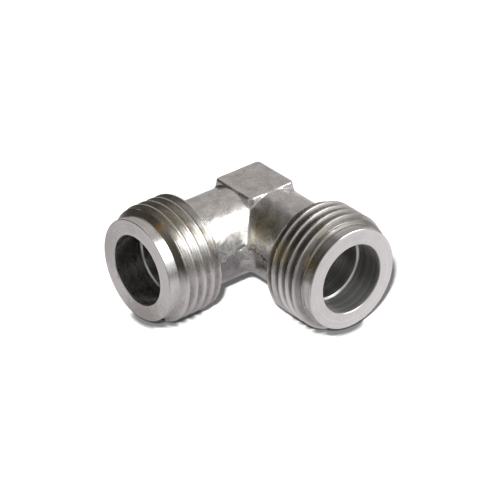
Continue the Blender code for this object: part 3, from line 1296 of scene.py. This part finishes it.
@dataclass(frozen=True)
class Studio:
    """Pale floor, white surroundings, a soft lamp and the tent that the metal reflects."""

    floor_half: float = 0.6
    floor_color: Color = (0.90, 0.90, 0.90, 1.0)
    floor_lift: float = 0.05
    contact_shadow_reach: float = 2.0 * MM
    contact_shadow_full: float = 0.62
    contact_shadow_depth: float = 0.85
    mirror_right: Color = Glow.ROSE_GREY.at(0.44)
    mirror_left: Color = Glow.VIOLET_GREY.at(0.59)
    mirror_sweep: float = 0.05
    mirror_open: Range = (0.35, 0.85)
    mirror_reach: float = 20.0 * MM
    fades: tuple[Fade, ...] = (Fade(0.0, 0.016, 0.075, 0.75), Fade(math.radians(-88.0), 0.042, 0.090, 0.80))
    surroundings: float = 0.14
    lamp_azimuth: float = FRONT - math.radians(3.5)
    lamp_elevation: float = math.radians(37.3)
    lamp_distance: float = 1.0
    lamp_side: float = 0.05
    lamp_watts: float = 20.0

    def floor(self) -> Object:
        """Build the floor under the elbow.

        Returns:
            The floor.
        """
        half = self.floor_half
        corners = [(x * half, y * half, FLOOR_HEIGHT) for x, y in ((-1, -1), (1, -1), (1, 1), (-1, 1))]
        mesh = bpy.data.meshes.new("floor")
        mesh.from_pydata(corners, [], [(0, 1, 2, 3)])
        mesh.materials.append(self.floor_paint())
        floor = link("floor", mesh)
        return floor

    def floor_paint(self) -> Material:
        """Make the floor's material: pale to look at, with a painted contact shadow next to the elbow; in
        reflections a grey glow with a painted shadow near the elbow and dark bands.

        Returns:
            The new material.
        """
        material, sheet = new_material("studio_floor")
        path = sheet.add("LightPath").outputs
        x, y, _ = sheet.split(sheet.place())
        sweep = sheet.span(sheet.minus(y, x), -self.mirror_sweep, self.mirror_sweep)
        mirrored = sheet.blend(sweep, self.mirror_right, self.mirror_left)
        # Painted shadow in reflections: near the elbow, ambient occlusion darkens part of the grey that the
        # metal sees
        near = sheet.add("AmbientOcclusion", {"Color": mirrored, "Distance": self.mirror_reach}, samples=6)
        mirrored = sheet.blend(sheet.span(sweep, 0.3, 1.0, *self.mirror_open), near.outputs["Color"], mirrored)
        for fade in self.fades:
            way = FRONT + fade.turn
            out = sheet.plus(sheet.times(x, math.sin(way)), sheet.times(y, -math.cos(way)))
            mirrored = sheet.blend(sheet.span(out, fade.start, fade.end, 0.0, fade.share), mirrored, BLACK)
        # Painted contact shadow: to the camera, the pale floor darkens towards black where ambient occlusion
        # finds the elbow close
        close = sheet.add("AmbientOcclusion", {"Distance": self.contact_shadow_reach}, samples=16).outputs["AO"]
        touch = sheet.span(close, 1.0, self.contact_shadow_full)
        seen = path["Is Camera Ray"]
        contact_shadow = sheet.times(touch, touch, sheet.times(seen, self.contact_shadow_depth))
        pale = sheet.blend(contact_shadow, self.floor_color, BLACK)
        paint = sheet.add("BsdfDiffuse", {"Color": sheet.blend(path["Is Glossy Ray"], pale, mirrored)})
        glow = sheet.add("Emission", {"Color": WHITE, "Strength": sheet.times(seen, self.floor_lift)})
        both = sheet.add("AddShader", {0: paint.outputs[0], 1: glow.outputs[0]})
        sheet.add("OutputMaterial", {"Surface": both.outputs[0]})
        return material

    def world(self) -> None:
        """Make the surroundings: white to look at and in reflections, a plain level as light."""
        world = bpy.data.worlds.new("studio")
        world.use_nodes = True
        world.node_tree.nodes.clear()
        sheet = NodeSheet(world.node_tree)
        path = sheet.add("LightPath").outputs
        seen = sheet.math("MAXIMUM", sheet.math("MAXIMUM", path["Is Camera Ray"], path["Is Glossy Ray"]),
                          path["Is Transmission Ray"])
        level = sheet.span(seen, 0.0, 1.0, self.surroundings, 1.0, smooth=False)
        glow = sheet.add("Background", {"Color": WHITE, "Strength": level})
        sheet.add("OutputWorld", {"Surface": glow.outputs[0]})
        bpy.context.scene.world = world

    def lamp(self) -> None:
        """Hang the square soft lamp over the photographer's left shoulder, pointed at the elbow."""
        light = bpy.data.lights.new("soft_lamp", "AREA")
        light.shape = "SQUARE"
        light.size = self.lamp_side
        light.energy = self.lamp_watts
        flat = self.lamp_distance * math.cos(self.lamp_elevation)
        place = Vector((flat * math.sin(self.lamp_azimuth), -flat * math.cos(self.lamp_azimuth),
                        AXIS_HEIGHT + self.lamp_distance * math.sin(self.lamp_elevation)))
        lamp = link("soft_lamp", light)
        lamp.location = place
        lamp.rotation_euler = (Vector(MIDDLE) - place).to_track_quat("-Z", "Y").to_euler()
        lamp.visible_glossy = False

    def build(self) -> None:
        """Set up the whole studio."""
        self.floor()
        self.world()
        self.lamp()
        ReflectionTent().build()


@dataclass(frozen=True)
class PhotoCamera:
    """The camera at the photograph's viewing angle."""

    azimuth: float = math.radians(141.196)
    elevation: float = math.radians(30.593)
    roll: float = math.radians(-0.919)
    distance: float = 59.52 * THREAD_RADIUS
    lens: float = 257.4
    sensor: float = 36.0
    shift: Range = (-0.00996, -0.05995)
    clip: Range = (0.01, 10.0)

    def build(self) -> Object:
        """Place the camera and make it the scene's own.

        Returns:
            The camera.
        """
        data = bpy.data.cameras.new("photo_camera")
        data.lens = self.lens
        data.sensor_width = self.sensor
        data.shift_x, data.shift_y = self.shift
        data.clip_start, data.clip_end = self.clip
        camera = link("photo_camera", data)
        turn = (Matrix.Rotation(self.azimuth, 4, "Z") @ Matrix.Rotation(math.pi / 2 - self.elevation, 4, "X")
                @ Matrix.Rotation(self.roll, 4, "Z"))
        camera.matrix_world = (Matrix.Translation((0.0, 0.0, AXIS_HEIGHT)) @ turn
                               @ Matrix.Translation((0.0, 0.0, self.distance)))
        bpy.context.scene.camera = camera
        return camera


# The elbow


CRESTS = {Port.X: 0.787 * MM, Port.Y: 0.163 * MM}
SKINS = {
    Port.X: TurnedSteel(
        groove_painted_shade=0.12, lead_blur=0.05, corner_shade=0.75,
        tint_spots=(TintSpot((23.6, 3.5, 9.15), 1.25, 0.75, (0.50, 0.29, 0.08, 1.0)),
                TintSpot((20.5, 2.6, 9.8), 3.6, 0.5, (0.52, 0.46, 0.32, 1.0)),
                TintSpot((26.0, -5.5, -3.9), 0.9, 0.5, (0.50, 0.34, 0.22, 1.0)),
                # The last two spots are painted shade: grey darkening over the lower part and the left side of
                # the sealing face and its lead, seen from outside the port
                TintSpot((26.0, 2.0, -8.8), 7.5, 0.7, (0.42, 0.40, 0.36, 1.0)),
                TintSpot((26.0, -9.0, 1.5), 7.0, 0.65, (0.55, 0.53, 0.51, 1.0)))),
    Port.Y: TurnedSteel(
        port=Port.Y, seed=3.0, groove_painted_shade=0.50, ring_shade=0.38, lead_blur=0.02, corner_shade=0.3,
        tint_spots=(TintSpot((24.5, 7.6, 5.4), 2.0, 0.6, (0.60, 0.44, 0.27, 1.0)),
                TintSpot((17.5, 8.6, 4.6), 3.2, 0.5, (0.62, 0.51, 0.30, 1.0)),
                TintSpot((22.0, 3.5, 9.6), 2.6, 0.3, (0.66, 0.58, 0.44, 1.0))))}
BORES = {Port.X: BoredSteel(shade=0.10),
         Port.Y: BoredSteel(port=Port.Y, roughness=0.35, ring_shade=0.5, dust=0.038)}


def dress(piece: Object, materials: list[Material]) -> None:
    """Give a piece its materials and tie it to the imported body.

    Args:
        piece: the piece to dress.
        materials: its materials, in the order of its slots.
    """
    for material in materials:
        piece.data.materials.append(material)
    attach(piece, "root")
    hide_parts("elbow_body")
    piece.data.calc_loop_triangles()
    LOG.info("%s: %d triangles", piece.name, len(piece.data.loop_triangles))


def main() -> None:
    """Build the studio and the three pieces in order."""
    logging.basicConfig(level=logging.INFO, format="%(name)s: %(message)s")
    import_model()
    bpy.context.scene.view_settings.view_transform = "Standard"
    effects = Effects()
    bores = [BORES[port].build(effects) for port in Port]
    dress(ForgedCorner().build(), [ForgedSkin().build(effects), *bores])
    for port, bore in zip(Port, bores):
        dress(ThreadedEnd(port, CRESTS[port]).build(), [SKINS[port].build(effects), bore])
    Studio().build()
    PhotoCamera().build()


if __name__ == "__main__":
    main()
